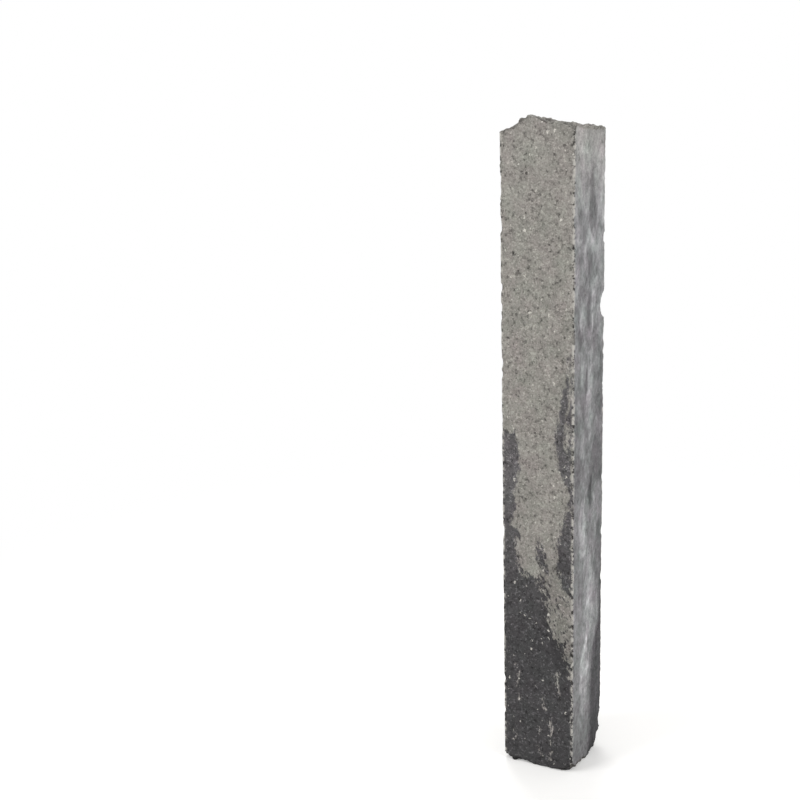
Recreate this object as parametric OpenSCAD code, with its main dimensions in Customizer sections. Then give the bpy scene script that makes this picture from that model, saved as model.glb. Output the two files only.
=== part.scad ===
// Concrete palisade: one square precast bar whose head and foot are broken by hand.
// Millimetres. The bar stands on its foot, centred on the Z axis, and its front looks along -Y.

/* [Bar] */
// Width of the section, between the two sides that neighbours stand against
width = 118; // [90:1:200]
// Depth of the section, from front to back
depth = 118; // [90:1:200]
// Height from the foot to the highest point of the head
height = 1020; // [400:10:1250]
// Rounding of the four long arrises
arris_radius = 2.5; // [1:0.5:5]

/* [Broken head] */
// Drop from the highest point of the head to its lowest corner
head_drop = 28; // [12:1:34]
// Radius of the domed crown that the scars are struck into
crown_radius = 320; // [240:5:400]
// Radius of the widest scar that the hammer leaves on the head
head_scar_radius = 300; // [180:10:360]

/* [Broken foot] */
// Height above the ground of the deepest break in the edge of the foot
foot_rise = 24; // [8:1:30]
// Radius of the widest scar on the foot
foot_scar_radius = 200; // [120:5:240]

/* [Chipped arrises] */
// Depth of the deepest arris chip, measured in from the sharp corner
chip_bite = 17; // [4:0.5:19]
// Radius of the widest arris chip
chip_radius = 52; // [40:1:70]

/* [Hidden] */
$fn = 72;

// Place of the crown's highest point, in shares of half the width and half the depth
crown_shares = [-0.04, -0.96];

// A scar row says where its surface lies and how it leans.
// Its place is in shares of half the width and half the depth, then a share of the drop or the rise.
// Its lean is the outward slope along X and Y, and its radius is a share of the widest scar.
head_scar_shares = [
    // Long slope behind the hump, down to the back right
    [0.30, 0.40, 0.72, 0.14, 0.10, 1.00],
    // Ledge that leaves the hump standing: two small scars, the wide one behind them, and the corner
    [-0.64, -1.00, 0.58, 0.00, -0.10, 0.037],
    [-0.84, -1.00, 0.66, -0.14, -0.05, 0.09],
    [-0.98, -0.58, 0.93, 0.00, 0.00, 0.12],
    [-0.97, -0.94, 0.80, -0.30, -0.20, 0.11],
    // Left and right shoulders of the hump
    [-0.32, -0.90, 0.10, -0.33, 0.03, 0.22],
    [0.22, -0.95, 0.18, 0.32, 0.02, 0.10],
    // Front edge, from the hump to the right corner
    [0.62, -1.00, 0.31, 0.18, -0.22, 0.33],
    // Front right corner
    [0.98, -0.98, 0.50, 0.40, -0.45, 0.10],
    // Right edge
    [1.00, -0.10, 0.68, 0.30, 0.02, 0.40],
    // Back right corner, the lowest of the head
    [0.98, 0.98, 0.97, 0.45, 0.50, 0.12],
    // Back edge
    [0.30, 1.00, 0.76, 0.12, 0.30, 0.26],
    // Back left corner
    [-0.95, 0.92, 0.78, -0.40, 0.34, 0.17],
    // Left edge
    [-1.00, 0.00, 0.80, -0.26, -0.02, 0.30],
];

foot_scar_shares = [
    // Front left corner and the two flakes beside it
    [-0.97, -0.98, 0.44, -0.55, -0.60, 0.13],
    [-0.45, -1.00, 0.24, -0.04, -0.70, 0.24],
    [-0.90, -1.00, 0.24, -0.10, -0.60, 0.16],
    // Front edge by the right corner, and that corner
    [0.62, -1.00, 0.13, 0.08, -0.60, 0.26],
    [0.98, -0.98, 0.62, 0.60, -0.60, 0.20],
    // Right edge, in two blows
    [1.00, -0.50, 0.36, 0.60, -0.05, 0.36],
    [1.00, 0.34, 0.22, 0.70, 0.10, 0.22],
    // Back right corner, the deepest break of the foot
    [0.86, 0.80, 0.98, 0.55, 0.62, 0.15],
    // Back edge
    [0.10, 1.00, 0.30, 0.05, 0.62, 0.34],
    // Back left corner
    [-0.96, 0.96, 0.60, -0.60, 0.65, 0.20],
    // Left edge
    [-1.00, -0.05, 0.24, -0.62, 0.05, 0.40],
];

// A chip row picks an arris by its two signs, then gives the share of the height it sits at,
// and its bite and radius as shares of the deepest bite and the widest chip.
arris_chip_shares = [
    // Back right arris
    [1, 1, 0.907, 0.24, 0.13],
    [1, 1, 0.845, 0.12, 0.50],
    [1, 1, 0.718, 1.00, 0.40],
    [1, 1, 0.593, 0.30, 0.74],
    [1, 1, 0.405, 0.12, 0.16],
    [1, 1, 0.262, 0.14, 0.30],
    [1, 1, 0.044, 0.46, 0.62],
    // Front right arris
    [1, -1, 0.905, 0.13, 0.22],
    [1, -1, 0.768, 0.16, 0.12],
    [1, -1, 0.690, 0.23, 0.40],
    [1, -1, 0.636, 0.20, 0.17],
    [1, -1, 0.432, 0.18, 0.22],
    [1, -1, 0.178, 0.15, 0.14],
    // Front left arris
    [-1, -1, 0.930, 0.19, 0.20],
    [-1, -1, 0.712, 0.25, 0.17],
    [-1, -1, 0.560, 0.16, 0.48],
    [-1, -1, 0.226, 0.20, 0.24],
    // Back left arris
    [-1, 1, 0.872, 0.21, 0.28],
    [-1, 1, 0.655, 0.36, 0.42],
    [-1, 1, 0.348, 0.18, 0.20],
    [-1, 1, 0.128, 0.28, 0.60],
];

// A vector of length 1 along v
function unit(v) = v / norm(v);

// A ball whose surface passes through a point, square to the outward direction
module scar(point, outward, radius) {
    translate(point + unit(outward) * radius) sphere(r = radius);
}

// The prism as it leaves the mould: flat faces between rounded arrises, and a head yet to be broken
module moulded_bar() {
    inner_width = width - 2 * arris_radius;
    inner_depth = depth - 2 * arris_radius;
    linear_extrude(height = height + head_drop) {
        square([width, inner_depth], center = true);
        square([inner_width, depth], center = true);
        for (side = [-1, 1], face = [-1, 1])
            translate([side * inner_width / 2, face * inner_depth / 2])
                circle(r = arris_radius);
    }
}

// What the hammer takes off round the domed crown
module crown_waste() {
    peak = [crown_shares[0] * width / 2, crown_shares[1] * depth / 2];
    reach = norm([width / 2 + abs(peak[0]), depth / 2 + abs(peak[1])]);
    dome_rise = crown_radius - sqrt(crown_radius ^ 2 - reach ^ 2);
    difference() {
        translate([-width, -depth, height - 2 * dome_rise])
            cube([2 * width, 2 * depth, 2 * dome_rise + 2 * head_drop]);
        translate([peak[0], peak[1], height - crown_radius]) sphere(r = crown_radius);
    }
}

// Scars left where the top was knocked off
module head_scars() {
    for (s = head_scar_shares)
        scar([s[0] * width / 2, s[1] * depth / 2, height - s[2] * head_drop],
             [s[3], s[4], 1], s[5] * head_scar_radius);
}

// Scars round the foot, which leave its middle flat to stand on
module foot_scars() {
    for (s = foot_scar_shares)
        scar([s[0] * width / 2, s[1] * depth / 2, s[2] * foot_rise],
             [s[3], s[4], -1], s[5] * foot_scar_radius);
}

// Chips knocked out of the long arrises
module arris_chips() {
    for (c = arris_chip_shares) {
        outward = unit([c[0], c[1], 0]);
        corner = [c[0] * width / 2, c[1] * depth / 2, c[2] * height];
        scar(corner - outward * c[3] * chip_bite, outward, c[4] * chip_radius);
    }
}

module palisade() {
    color("#8f8c86") difference() {
        moulded_bar();
        crown_waste();
        head_scars();
        foot_scars();
        arris_chips();
    }
}

palisade();
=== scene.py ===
"""Looks of a square concrete palisade: one dry-cast bar, broken off rough at head and foot.

The bar is two mixes of concrete, light grey above and anthracite below, which ran into
each other as tongues while the mould was filled. Its shape is worked out as whole arrays
on one closed grid, and its colours follow named values that the grid's vertices carry.
Lengths are millimetres, and a name that ends in _m is in metres. Shares are parts of the
bar's own sizes: across a face from -1 at its left to 1 at its right, and 0 to 1 in height.
"""

import logging
import math
from collections.abc import Callable
from dataclasses import dataclass
from enum import Enum
from functools import partial
from itertools import product

import bpy
import numpy as np
from mathutils import Matrix, Quaternion, Vector


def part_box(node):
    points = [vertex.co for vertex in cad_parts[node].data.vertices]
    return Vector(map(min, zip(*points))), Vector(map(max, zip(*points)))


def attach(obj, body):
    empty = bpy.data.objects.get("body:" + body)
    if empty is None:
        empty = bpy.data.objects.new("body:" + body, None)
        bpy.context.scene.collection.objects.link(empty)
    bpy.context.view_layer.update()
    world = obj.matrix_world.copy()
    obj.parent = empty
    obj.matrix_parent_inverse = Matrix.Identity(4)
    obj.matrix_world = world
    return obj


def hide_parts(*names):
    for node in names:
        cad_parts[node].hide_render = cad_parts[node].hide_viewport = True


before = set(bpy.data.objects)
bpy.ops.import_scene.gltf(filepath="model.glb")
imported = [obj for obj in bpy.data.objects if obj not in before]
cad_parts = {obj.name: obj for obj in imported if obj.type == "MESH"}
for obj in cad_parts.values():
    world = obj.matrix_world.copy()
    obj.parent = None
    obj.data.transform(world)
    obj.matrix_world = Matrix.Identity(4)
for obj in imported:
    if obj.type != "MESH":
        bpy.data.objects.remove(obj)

LOG = logging.getLogger("palisade")
MM = 0.001
NODE = "palisade"
BODY = "root"

# The noise lattice is turned, so that it never lines up with the bar's flat faces
LATTICE_TURN = np.array(Matrix.Rotation(0.71, 3, Vector((0.36, 0.48, 0.80))))
# Brings the noise out to about -1 and 1
NOISE_GAIN = 1.7
# Large odd numbers and shifts that scramble whole numbers into random ones of 32 bits
CELL_FACTORS = (73856093, 19349663, 83492791)
SALT_FACTOR = 2654435761
SCRAMBLES = ((15, 2246822519), (13, 3266489917))
LAST_SHIFT = 16
WORD = 0xFFFFFFFF

# Values up the bar, as (height share, value), with straight runs between them
Ladder = tuple[tuple[float, float], ...]
# A ball that broke a piece off an end: x, y and travel shares, lean along x and y, radius share
Scar = tuple[float, float, float, float, float, float]
# A chip out of an arris: the signs of its x and y, then height, bite and radius shares
Chip = tuple[int, int, float, float, float]


def lattice_random(cells: np.ndarray, salt: int) -> np.ndarray:
    """Give each lattice point a fixed random number.

    Each whole number and the salt is multiplied by a large odd number, the products are
    joined by exclusive or, and the result is scrambled by shifts and multiplications.

    Args:
        cells: Whole numbers, n rows of 3.
        salt: Number that sets one random pattern apart from the next.

    Returns:
        n numbers from 0 to 1.
    """
    products = cells.astype(np.int64) * CELL_FACTORS
    word = (np.bitwise_xor.reduce(products, axis=1) ^ (salt * SALT_FACTOR)) & WORD
    for shift, factor in SCRAMBLES:
        word = ((word ^ (word >> shift)) * factor) & WORD
    return (word ^ (word >> LAST_SHIFT)) / WORD


def stone_noise(points: np.ndarray, size: float, salt: int, stretch: float = 1.0) -> np.ndarray:
    """Work out smooth gradient noise in space.

    Each corner of a point's lattice cell has a random slope. The noise is the mean of the
    heights that these slopes reach at the point, eased by 6t^5 - 15t^4 + 10t^3.

    Args:
        points: Places, n rows of 3.
        size: Width of a lump.
        salt: Number of the random pattern.
        stretch: How many times taller than wide a lump is.

    Returns:
        n numbers, mostly from -1 to 1.
    """
    spot = (points / (size, size, size * stretch)) @ LATTICE_TURN
    cell = np.floor(spot)
    inside = spot - cell
    ease = inside**3 * (inside * (6 * inside - 15) + 10)
    total = np.zeros(len(points))
    for corner in product((0, 1), repeat=3):
        step = np.array(corner)
        slope = np.stack([2 * lattice_random(cell + step, salt + axis) - 1 for axis in range(3)], axis=1)
        share = np.prod(np.where(step == 1, ease, 1 - ease), axis=1)
        total += share * np.sum(slope * (inside - step), axis=1)
    return NOISE_GAIN * total


def fade(distance: np.ndarray, reach: float | np.ndarray) -> np.ndarray:
    """Return 1 at distance 0, falling as a bell curve whose half breadth is reach."""
    return np.exp(-((distance / reach) ** 2))


def read_ladder(ladder: Ladder, share: np.ndarray) -> np.ndarray:
    """Return a ladder's value at each height share."""
    return np.interp(share, *np.array(ladder).T)


@dataclass(frozen=True)
class Lumps:
    """A layer of noise.

    Attributes:
        depth: How far it swings either way.
        size: Width of a lump.
        salt: Number of its random pattern.
        stretch: How many times taller than wide a lump is.
    """

    depth: float
    size: float
    salt: int
    stretch: float = 1.0

    def at(self, points: np.ndarray) -> np.ndarray:
        """Return the layer's value at each point."""
        return self.depth * stone_noise(points, self.size, self.salt, self.stretch)


@dataclass(frozen=True)
class Spots:
    """Round spots, one at a random place in each cell of the lattice, such as pits or stones.

    Attributes:
        spacing: Mean distance between the cells' spots.
        salt: Number of the random pattern.
        radius: Radius of a spot, in spacings.
        bare: Share of the cells that have none.
    """

    spacing: float
    salt: int
    radius: float
    bare: float

    def at(self, points: np.ndarray) -> np.ndarray:
        """Work out how high the spots stand.

        Of the cells round a point, the one whose spot is nearest counts. Its distance d gives
        1 - (d / radius)^2, which is 1 at the spot's middle and 0 at its rim.

        Args:
            points: Places, n rows of 3.

        Returns:
            n numbers from 0 to 1.
        """
        place = (points / self.spacing) @ LATTICE_TURN
        cell = np.floor(place)
        nearest = np.full(len(points), np.inf)
        chance = np.zeros(len(points))
        for step in product((-1, 0, 1), repeat=3):
            near_cell = cell + step
            jitter = [lattice_random(near_cell, self.salt + axis) for axis in range(3)]
            distance = np.linalg.norm(place - near_cell - np.stack(jitter, axis=1), axis=1)
            chance = np.where(distance < nearest, lattice_random(near_cell, self.salt + 3), chance)
            nearest = np.minimum(nearest, distance)
        return np.clip(1 - (nearest / self.radius) ** 2, 0, 1) * (chance > self.bare)


def layered(layers: tuple[Lumps, ...], points: np.ndarray) -> np.ndarray:
    """Return the sum of some layers of noise at each point."""
    return sum(layer.at(points) for layer in layers)


def quads(index: np.ndarray) -> np.ndarray:
    """Turn a grid of vertex numbers into its squares, counter-clockwise with columns to the right."""
    corners = (index[:-1, :-1], index[:-1, 1:], index[1:, 1:], index[1:, :-1])
    return np.stack([corner.ravel() for corner in corners], axis=1)


class Face(Enum):
    """The four cast faces: the direction each looks in, and the one that runs to its right."""

    FRONT = ((0, -1), (1, 0))
    RIGHT = ((1, 0), (0, 1))
    BACK = ((0, 1), (-1, 0))
    LEFT = ((-1, 0), (0, -1))

    @property
    def outward(self) -> np.ndarray:
        """The direction that it looks in, as (x, y)."""
        return np.array(self.value[0], float)

    @property
    def rightward(self) -> np.ndarray:
        """The direction to its right, seen from outside, as (x, y)."""
        return np.array(self.value[1], float)


class Mix(Enum):
    """The two mixes of concrete in the bar."""

    LIGHT = 1
    DARK = -1


@dataclass(frozen=True)
class BrokenEnd:
    """One end of the bar, and the balls that broke pieces off it.

    Attributes:
        way_out: 1 at the head and -1 at the foot.
        travel: Way into the bar for a travel share of 1.
        radius: Radius of a ball for a radius share of 1.
        scars: The balls.
    """

    way_out: int
    travel: float
    radius: float
    scars: tuple[Scar, ...]

    def balls(self, halves: np.ndarray, level: float) -> np.ndarray:
        """Place the balls.

        A ball's surface passes through its named point, and its centre lies outwards from
        there, along the lean, by its radius.

        Args:
            halves: Half the bar's sizes along x and y.
            level: Height of the unbroken end.

        Returns:
            Rows of centre x, y, z and radius.
        """
        table = np.array(self.scars)
        point = table[:, :3] * (*halves, -self.way_out * self.travel) + (0, 0, level)
        outward = np.column_stack([table[:, 3:5], np.full(len(table), self.way_out)])
        outward /= np.linalg.norm(outward, axis=1, keepdims=True)
        reach = table[:, 5] * self.radius
        return np.column_stack([point + outward * reach[:, None], reach])


HEAD = BrokenEnd(way_out=1, travel=28, radius=300, scars=(
    (0.30, 0.40, 0.72, 0.14, 0.10, 1.00),      # long slope behind the hump
    (-0.64, -1.00, 0.58, 0.00, -0.10, 0.037),  # step at the hump's left
    (-0.84, -1.00, 0.66, -0.14, -0.05, 0.09),  # ledge left of it
    (-0.98, -0.58, 0.93, 0.00, 0.00, 0.12),    # wide scar behind the ledge
    (-0.97, -0.94, 0.80, -0.30, -0.20, 0.11),  # front left corner
    (-0.32, -0.90, 0.10, -0.33, 0.03, 0.22),   # left shoulder of the hump
    (0.22, -0.95, 0.18, 0.32, 0.02, 0.10),     # right shoulder of the hump
    (0.62, -1.00, 0.31, 0.18, -0.22, 0.33),    # front edge
    (0.98, -0.98, 0.50, 0.40, -0.45, 0.10),    # front right corner
    (1.00, -0.10, 0.68, 0.30, 0.02, 0.40),     # right edge
    (0.98, 0.98, 0.97, 0.45, 0.50, 0.12),      # back right corner
    (0.30, 1.00, 0.76, 0.12, 0.30, 0.26),      # back edge
    (-0.95, 0.92, 0.78, -0.40, 0.34, 0.17),    # back left corner
    (-1.00, 0.00, 0.80, -0.26, -0.02, 0.30),   # left edge
))

FOOT = BrokenEnd(way_out=-1, travel=24, radius=200, scars=(
    (-0.97, -0.98, 0.44, -0.55, -0.60, 0.13),  # front left corner
    (-0.45, -1.00, 0.24, -0.04, -0.70, 0.24),  # front edge beside it, in two blows
    (-0.90, -1.00, 0.24, -0.10, -0.60, 0.16),
    (0.62, -1.00, 0.13, 0.08, -0.60, 0.26),    # front edge by the right corner
    (0.98, -0.98, 0.62, 0.60, -0.60, 0.20),    # front right corner
    (1.00, -0.50, 0.36, 0.60, -0.05, 0.36),    # right edge, in two blows
    (1.00, 0.34, 0.22, 0.70, 0.10, 0.22),
    (0.86, 0.80, 0.98, 0.55, 0.62, 0.15),      # back right corner
    (0.10, 1.00, 0.30, 0.05, 0.62, 0.34),      # back edge
    (-0.96, 0.96, 0.60, -0.60, 0.65, 0.20),    # back left corner
    (-1.00, -0.05, 0.24, -0.62, 0.05, 0.40),   # left edge
))


@dataclass(frozen=True)
class BarForm:
    """The broken bar as the frame has it, and the grid that its surface is worked out on.

    Attributes:
        half_width: Half the size along x.
        half_depth: Half the size along y.
        height: Height of the head's highest point.
        arris_radius: Radius of the long edges.
        crown_radius: Radius of the dome that the head is broken out of.
        crown_shares: Place of the dome's peak, as x and y shares.
        chip_bite: Depth of the deepest chip, from the sharp corner.
        chip_radius: Radius of the widest chip.
        chips: The chips.
        columns: Grid steps along the straight part of one face.
        arris_steps: Grid steps round one arris, an even number.
        rows: Grid steps up the bar.
        crowding: How much closer the grid is at the arrises and ends than midway, 0 to 1.
    """

    half_width: float
    half_depth: float
    height: float
    arris_radius: float = 2.5
    crown_radius: float = 320
    crown_shares: tuple[float, float] = (-0.04, -0.96)
    chip_bite: float = 17
    chip_radius: float = 52
    chips: tuple[Chip, ...] = (
        (1, 1, 0.907, 0.24, 0.13), (1, 1, 0.845, 0.12, 0.50), (1, 1, 0.718, 1.00, 0.40),
        (1, 1, 0.593, 0.30, 0.74), (1, 1, 0.405, 0.12, 0.16), (1, 1, 0.262, 0.14, 0.30),
        (1, 1, 0.044, 0.46, 0.62),
        (1, -1, 0.905, 0.13, 0.22), (1, -1, 0.768, 0.16, 0.12), (1, -1, 0.690, 0.23, 0.40),
        (1, -1, 0.636, 0.20, 0.17), (1, -1, 0.432, 0.18, 0.22), (1, -1, 0.178, 0.15, 0.14),
        (-1, -1, 0.930, 0.19, 0.20), (-1, -1, 0.712, 0.25, 0.17), (-1, -1, 0.560, 0.16, 0.48),
        (-1, -1, 0.226, 0.20, 0.24),
        (-1, 1, 0.872, 0.21, 0.28), (-1, 1, 0.655, 0.36, 0.42), (-1, 1, 0.348, 0.18, 0.20),
        (-1, 1, 0.128, 0.28, 0.60),
    )
    columns: int = 48
    arris_steps: int = 4
    rows: int = 450
    crowding: float = 0.35

    @property
    def halves(self) -> np.ndarray:
        """Half the sizes along x and y."""
        return np.array([self.half_width, self.half_depth])

    @property
    def side_steps(self) -> int:
        """Grid steps along one face, with half an arris at each end."""
        return self.columns + self.arris_steps

    @property
    def girth_steps(self) -> int:
        """Grid steps round the bar."""
        return len(Face) * self.side_steps

    def half_breadth(self, face: Face) -> float:
        """Return half a face's breadth."""
        return abs(face.rightward @ self.halves)

    def crowded(self, steps: int) -> np.ndarray:
        """Space out steps from -1 to 1, closer together at the ends.

        The place is (1 - c) q + c sin(q pi / 2), with q evenly spaced and c the crowding.

        Args:
            steps: Number of steps.

        Returns:
            steps + 1 places from -1 to 1.
        """
        even = np.linspace(-1, 1, steps + 1)
        return (1 - self.crowding) * even + self.crowding * np.sin(even * math.pi / 2)

    def side_outline(self, half: float, reach: float) -> np.ndarray:
        """Lay out one face of the section, seen from outside, between two arris middles.

        The first and last steps follow a quarter circle's nearer half, and those between
        run straight along the face.

        Args:
            half: Half the face's breadth.
            reach: Distance of the face from the bar's axis.

        Returns:
            (across, outward) of side_steps + 1 points.
        """
        radius = self.arris_radius
        turn = np.linspace(math.pi / 4, 0, self.arris_steps // 2 + 1)[:-1]
        arc = (half - radius, reach - radius) + radius * np.column_stack([np.sin(turn), np.cos(turn)])
        flat_across = (half - radius) * self.crowded(self.columns)
        flat = np.column_stack([flat_across, np.full(len(flat_across), reach)])
        return np.concatenate([arc * (-1, 1), flat, arc[::-1]])

    def section(self) -> np.ndarray:
        """Lay out the unbroken bar's section, from the front left arris round to the right.

        Returns:
            (x, y) of girth_steps points.
        """
        parts = []
        for face in Face:
            outline = self.side_outline(self.half_breadth(face), abs(face.outward @ self.halves))
            parts.append(outline[:-1] @ np.stack([face.rightward, face.outward]))
        return np.concatenate(parts)

    def end_level(self, end: BrokenEnd, x: np.ndarray, y: np.ndarray) -> np.ndarray:
        """Work out the height of a broken end.

        The head starts as a dome, whose height is its lowest point's plus the root of
        R^2 - d^2 with d the distance from its peak's axis, and the foot as level ground.
        Where a ball reaches deeper into the bar, its surface takes the place of the end.

        Args:
            end: The end.
            x: Places along x.
            y: Places along y.

        Returns:
            Heights.
        """
        outer, level = 0.0, np.zeros_like(x)
        if end is HEAD:
            peak_x, peak_y = self.crown_shares * self.halves
            off_peak = (x - peak_x) ** 2 + (y - peak_y) ** 2
            outer = self.height
            level = outer - self.crown_radius + np.sqrt(self.crown_radius**2 - off_peak)
        for cx, cy, cz, r in end.balls(self.halves, outer):
            inside = r**2 - (x - cx) ** 2 - (y - cy) ** 2
            surface = end.way_out * cz - np.sqrt(np.maximum(inside, 0))
            deeper = end.way_out * np.minimum(end.way_out * level, surface)
            level = np.where(inside > 0, deeper, level)
        return level

    def chipped(self, x: np.ndarray, y: np.ndarray, z: np.ndarray) -> np.ndarray:
        """Tell how far in the chips push each point of the sides.

        A line from the bar's axis out to the point enters a chip's ball at t = b minus the
        root of b^2 - c^2 + r^2, with b the ball's centre along the line, c its distance
        and r its radius at that height.

        Args:
            x: Places along x.
            y: Places along y.
            z: Heights.

        Returns:
            The share of its distance from the axis that each point keeps.
        """
        distance = np.hypot(x, y)
        kept = np.ones_like(x)
        for sign_x, sign_y, level, bite, size in self.chips:
            radius = size * self.chip_radius
            outward = (radius - bite * self.chip_bite) / math.sqrt(2)
            cx, cy = sign_x * (self.half_width + outward), sign_y * (self.half_depth + outward)
            along = (x * cx + y * cy) / distance
            inner = along**2 - cx**2 - cy**2 + radius**2 - (z - level * self.height) ** 2
            entry = along - np.sqrt(np.maximum(inner, 0))
            kept = np.where((inner > 0) & (along > 0), np.minimum(kept, entry / distance), kept)
        return kept

    def rim(self, end: BrokenEnd) -> np.ndarray:
        """Lay out the rim of one broken end, where the sides meet it.

        Args:
            end: The end.

        Returns:
            girth_steps points.
        """
        outline = self.section()
        outline = outline * self.chipped(*outline.T, self.end_level(end, *outline.T))[:, None]
        return np.column_stack([outline, self.end_level(end, *outline.T)])

    def side_grid(self) -> np.ndarray:
        """Work out the four faces, from the foot's rim up to the head's.

        A point's height runs from its column's foot to its head, and its x and y are those
        of the section, drawn in towards the axis by the chips.

        Returns:
            rows + 1 by girth_steps points.
        """
        foot, head = self.rim(FOOT), self.rim(HEAD)
        up = (self.crowded(self.rows)[:, None] + 1) / 2
        z = foot[:, 2] + (head[:, 2] - foot[:, 2]) * up
        x, y = (np.broadcast_to(part, z.shape) for part in self.section().T)
        kept = self.chipped(x, y, z)
        grid = np.stack([x * kept, y * kept, z], axis=2)
        grid[0], grid[-1] = foot, head
        return grid

    def end_grid(self, end: BrokenEnd, rim: np.ndarray) -> np.ndarray:
        """Work out a broken end inside its rim.

        The x and y are a Coons patch: the two ways of blending opposite edges of the rim
        are added, and the blend of its four corners is taken off. The height follows.

        Args:
            end: The end.
            rim: (x, y) of the rim.

        Returns:
            side_steps + 1 squared points, with rows along y and columns along x.
        """
        steps = self.side_steps
        loop = np.concatenate([rim, rim[:1]])
        front, right, back, left = (loop[k * steps:(k + 1) * steps + 1] for k in range(len(Face)))
        back, left = back[::-1], left[::-1]
        share = (front[:, 0] - front[0, 0]) / (front[-1, 0] - front[0, 0])
        s, t = share[None, :, None], share[:, None, None]
        edges = (1 - t) * front[None] + t * back[None] + (1 - s) * left[:, None] + s * right[:, None]
        corners = (1 - t) * ((1 - s) * front[0] + s * front[-1]) + t * ((1 - s) * back[0] + s * back[-1])
        flat = edges - corners
        return np.dstack([flat, self.end_level(end, flat[..., 0], flat[..., 1])])

    def surface(self) -> tuple[np.ndarray, np.ndarray]:
        """Join the sides and both ends into one closed surface.

        Returns:
            The vertices, n rows of 3, and the faces, m rows of 4 vertex numbers.
        """
        girth, steps = self.girth_steps, self.side_steps
        sides = self.side_grid()
        numbers = np.arange(sides.shape[0] * girth).reshape(-1, girth)
        closed = np.column_stack([numbers, numbers[:, :1]])
        faces = [quads(closed)]
        vertices = [sides.reshape(-1, 3)]
        count = numbers.size
        for end, ring in ((FOOT, 0), (HEAD, -1)):
            inner = self.end_grid(end, sides[ring, :, :2])[1:-1, 1:-1].reshape(-1, 3)
            loop = closed[ring]
            index = np.empty((steps + 1, steps + 1), int)
            index[0], index[:, -1] = loop[:steps + 1], loop[steps:2 * steps + 1]
            index[-1], index[:, 0] = loop[2 * steps:3 * steps + 1][::-1], loop[3 * steps:][::-1]
            index[1:-1, 1:-1] = count + np.arange(len(inner)).reshape(steps - 1, steps - 1)
            faces.append(quads(index)[:, ::end.way_out])
            vertices.append(inner)
            count += len(inner)
        return np.concatenate(vertices), np.concatenate(faces)


@dataclass(frozen=True)
class StoneRelief:
    """How rough the bar is: grainy where the mould formed it, lumpy where it was broken.

    Attributes:
        waves: Shallow waves of the cast faces.
        grain: Grain of the cast faces.
        pits: Holes that trapped air left in them.
        pit_depth: Depth of those holes.
        cast_wear: How far the cast faces lie below the mould's plane.
        side_calm: How much smoother the right and left faces are, 0 to 1.
        lumps: Lumps and hollows of the broken surfaces.
        stones: Stones that stand out of them.
        stone_height: How far they stand out.
        broken_wear: How far the broken surfaces are set back.
        arris_reach: Distance from an edge at which its wear fades out.
        arris_wear: How far the edges are worn all along.
        crumbs: Crumbs missing from the edges.
        crumb_depth: How deep they reach.
        crumb_least: Share of that depth that they have everywhere.
        crumb_patches: Where they reach deeper.
        nicks: Nicks in the edges.
        nick_depth: Depth of those nicks.
    """

    waves: tuple[Lumps, ...] = (Lumps(0.40, 70, 100), Lumps(0.30, 26, 110))
    grain: tuple[Lumps, ...] = (Lumps(0.42, 7.0, 140), Lumps(0.30, 4.6, 150))
    pits: Spots = Spots(12, 400, radius=0.24, bare=0.35)
    pit_depth: float = 1.3
    cast_wear: float = 0.25
    side_calm: float = 0.55
    lumps: tuple[Lumps, ...] = (Lumps(1.9, 24, 200), Lumps(1.2, 10, 210), Lumps(0.8, 5.2, 220))
    stones: Spots = Spots(8.5, 500, radius=0.5, bare=0.45)
    stone_height: float = 1.8
    broken_wear: float = 0.7
    arris_reach: float = 3.2
    arris_wear: float = 0.5
    crumbs: tuple[Lumps, ...] = (Lumps(1.0, 13, 300), Lumps(0.6, 7.8, 310))
    crumb_depth: float = 2.0
    crumb_least: float = 0.3
    crumb_patches: Lumps = Lumps(1.6, 50, 320)
    nicks: Spots = Spots(26, 600, radius=0.34, bare=0.5)
    nick_depth: float = 3.2

    def cast_height(self, points: np.ndarray, side: np.ndarray) -> np.ndarray:
        """Work out the relief of the cast faces.

        Waves, grain and pits are added up, the last two calmed on the right and left faces,
        and what would stand above the mould's plane is cut off.

        Args:
            points: Places, n rows of 3.
            side: 1 on the right and left faces, 0 on the front and back.

        Returns:
            Heights over the plane of the face, never above it.
        """
        rough = layered(self.grain, points) - self.pit_depth * self.pits.at(points)
        calm = 1 - self.side_calm * side
        return np.minimum(layered(self.waves, points) + calm * rough - self.cast_wear, 0)

    def broken_height(self, points: np.ndarray) -> np.ndarray:
        """Work out the relief of the broken surfaces: lumps, and stones round as half a ball.

        Args:
            points: Places, n rows of 3.

        Returns:
            Heights over the broken form.
        """
        stones = self.stone_height * np.sqrt(self.stones.at(points))
        return layered(self.lumps, points) + stones - self.broken_wear

    def worn_height(self, points: np.ndarray) -> np.ndarray:
        """Work out the relief of the edges: even wear, less crumbs in patches, less nicks.

        Args:
            points: Places, n rows of 3.

        Returns:
            Heights over the edge, all below it.
        """
        crumbs = sum(np.maximum(layer.at(points), 0) for layer in self.crumbs)
        crumbs *= self.crumb_least + np.maximum(self.crumb_patches.at(points), 0)
        return -self.arris_wear - self.crumb_depth * crumbs - self.nick_depth * self.nicks.at(points)


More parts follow.
